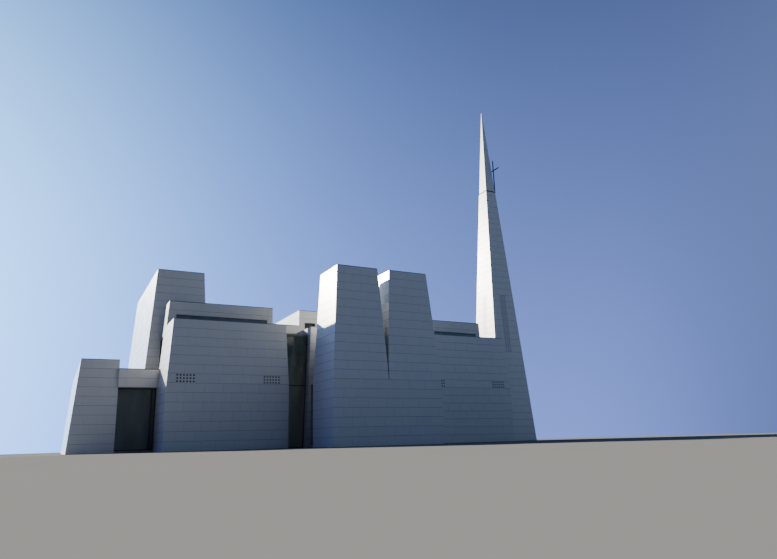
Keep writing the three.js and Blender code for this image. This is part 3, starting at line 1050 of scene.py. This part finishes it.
def frame_on(node, facing, posts=(), rails=(), bar=0.05, finish=FRAMES):
    """Posts are given by their place along the pane, and rails by their height."""
    pane = copy_of([node])
    drop(pane, lambda f: f.normal.dot(facing) < LEVEL)
    bmesh.ops.dissolve_limit(pane, angle_limit=FLAT, verts=pane.verts, edges=pane.edges)
    side = UP.cross(facing)
    light = pane.faces[:]
    bmesh.ops.inset_region(pane, faces=light, thickness=bar / 2, use_boundary=True,
                           use_even_offset=True)
    for post in posts:
        light = cut(pane, light, side * post, side)
    for rail in rails:
        light = cut(pane, light, UP * rail, UP)
    bmesh.ops.inset_individual(pane, faces=light, thickness=bar / 2, use_even_offset=True)
    bmesh.ops.delete(pane, geom=light, context="FACES")
    bmesh.ops.remove_doubles(pane, verts=pane.verts, dist=WELD)
    bmesh.ops.translate(pane, vec=facing * CLEARANCE, verts=pane.verts[:])
    thicken(pane, facing * STAND)
    keep(pane, node + "_frame", [finish])


frame_on("portal_screen", SOUTH, posts=(-13.60,), bar=0.07)
frame_on("slot_screen", SOUTH, rails=(4.255,), bar=0.06)
frame_on("right_block_slot_window", SOUTH, rails=(2.4,), bar=0.03)
frame_on("link_glass", WEST, rails=(4.2,), bar=0.06)
# The strip windows' frames take the paler coping metal, painted light against the shade under
# their heads.
frame_on("left_strip_window", SOUTH, posts=(-9.233,), finish=COPING)
frame_on("hall_strip_window", SOUTH, posts=(9.919,), finish=COPING)
frame_on("hall_window", SOUTH)

# %% [markdown]
# Below each strip window a thin metal sill covers the wall between the glass and the face
# of the tiles. The portal's glass stands on a low step of honed stone. Both are one flat
# face, thickened.

# %% Sills and the step
LEDGE = 0.04  # how far a sill stands out past the hall's face
RECESS = 0.089  # how far the glass lies behind it


def sill(name, x0, x1):
    front, back = HALL_Y - LEDGE, HALL_Y + RECESS
    board = plan_face(rectangle(x0, front, x1, back, LOW_TOP + CLEARANCE))
    thicken(board, UP * 0.012)
    keep(board, name + "_sill", [COPING])


sill("left_strip", -12.44, -5.91)
sill("hall_strip", 6.47, 13.10)
sill("hall_window", -2.95, -2.065)
stone = plan_face(rectangle(-15.79, -3.80, -13.34, -3.46, 0.002))
thicken(stone, UP * 0.11)
keep(stone, "portal_step", [STONE])

# %% [markdown]
# ## The stage
# A wide pale floor and a low sun behind the left of the building. The fronts are in the
# shade, as they were when the picture was taken, so they get their light from the sky and
# from the floor.

# %% Floor and sun
RADIUS = 60.0  # of the floor
SUN_WAY = Vector((1, -2.0, -0.835)).normalized()
disc = bmesh.new()
bmesh.ops.create_circle(disc, cap_ends=True, segments=96, radius=RADIUS)
floor_mesh = bpy.data.meshes.new("floor")
disc.to_mesh(floor_mesh)
disc.free()
floor = put_in_scene("floor", floor_mesh)
pale = Finish("floor_paint", Roughness=1.0, Specular_IOR_Level=0.0)
worn = pale.noise(9.0)
pale.set(Base_Color=pale.blend(worn, (0.172, 0.17, 0.172, 1), (0.186, 0.184, 0.186, 1)))
floor_mesh.materials.append(pale.material)

sun = put_in_scene("sun", bpy.data.lights.new("sun", "SUN"))
sun.data.energy = 17.0
sun.data.color = (1.0, 0.925, 0.72)
sun.data.angle = math.radians(0.7)
sun.rotation_euler = SUN_WAY.to_track_quat("-Z", "Y").to_euler()
print("sun", round(math.degrees(math.asin(-SUN_WAY.z)), 1), "degrees up")

# %% [markdown]
# The sky is a sum of soft glows. Each is a colour times a mask, and a mask grows with how
# well a direction lines up with the sun: a power of that number gives a wide or a narrow
# glow. Haze makes the sky paler low down, so the glows fade with height. The far side is
# dark, but for one large weak glow low on the right, which lights the fronts there as a
# soft studio light would.

# %% Sky
SOFT_LIGHT = Vector((0.85, -0.53, 0.1)).normalized()
DARK_SIDE = (0.030, 0.042, 0.070)
world = bpy.data.worlds.new("sky")
bpy.context.scene.world = world
world.use_nodes = True
sky = Network(world.node_tree)
direction = sky.node("ShaderNodeTexCoord").part("Generated")


def lined_up(middle):
    """1 where a direction is the middle of a glow, 0 square to it, -1 opposite."""
    sockets = {0: direction, 1: middle}
    return sky.node("ShaderNodeVectorMath", {"operation": "DOT_PRODUCT"}, sockets).part("Value")


sunward = lined_up(-SUN_WAY)
haze = (1 - lined_up(UP).above_zero()) ** 1.4
GLOWS = [  # mask, colour
    (sky.range(sunward, -0.2, 0.35) * haze, (0.222, 0.336, 1.0)),
    (sunward.above_zero() ** 4 * haze, (0.45, 1.12, 3.3)),
    (sunward.above_zero() ** 12 * haze, (1.0, 2.9, 4.2)),
    (sky.range(lined_up(SOFT_LIGHT), 0.35, 1.0), (0.20, 0.30, 0.49)),
]
light = DARK_SIDE
for mask, colour in GLOWS:
    both = {0: light, 1: sky.tint(colour, mask)}
    light = sky.node("ShaderNodeVectorMath", {"operation": "ADD"}, both)
sky.feed(world.node_tree.nodes["Background"].inputs["Color"], light)
print("glows in the sky:", len(GLOWS))

# %% [markdown]
# The camera was found by fitting the corners of the blocks to the photograph: its place, the
# way it looks, and its focal length in pixels. Yaw turns it to the right, pitch lifts it,
# and roll tips it a little to one side.

# %% Camera
YAW, PITCH, ROLL = 0.49064, 0.25414, -0.02825  # radians
FOCAL, PICTURE = 623.62, 777  # pixels: focal length and picture width
PLACE = Vector((-19.432, -49.238, 0.25))
SENSOR = 36  # mm
level = Vector((math.sin(YAW), math.cos(YAW), 0))
ahead = level * math.cos(PITCH) + UP * math.sin(PITCH)
flat_right = Vector((math.cos(YAW), -math.sin(YAW), 0))
flat_over = UP * math.cos(PITCH) - level * math.sin(PITCH)
right = flat_right * math.cos(ROLL) + flat_over * math.sin(ROLL)
over = flat_over * math.cos(ROLL) - flat_right * math.sin(ROLL)
camera = put_in_scene("camera", bpy.data.cameras.new("camera"))
camera.data.sensor_width = SENSOR
camera.data.lens = FOCAL * SENSOR / PICTURE
camera.data.clip_end = 6000
turn = Matrix((right, over, -ahead)).transposed().to_4x4()
camera.matrix_world = Matrix.Translation(PLACE) @ turn
bpy.context.scene.camera = camera
print("camera lens", round(camera.data.lens, 2), "mm")
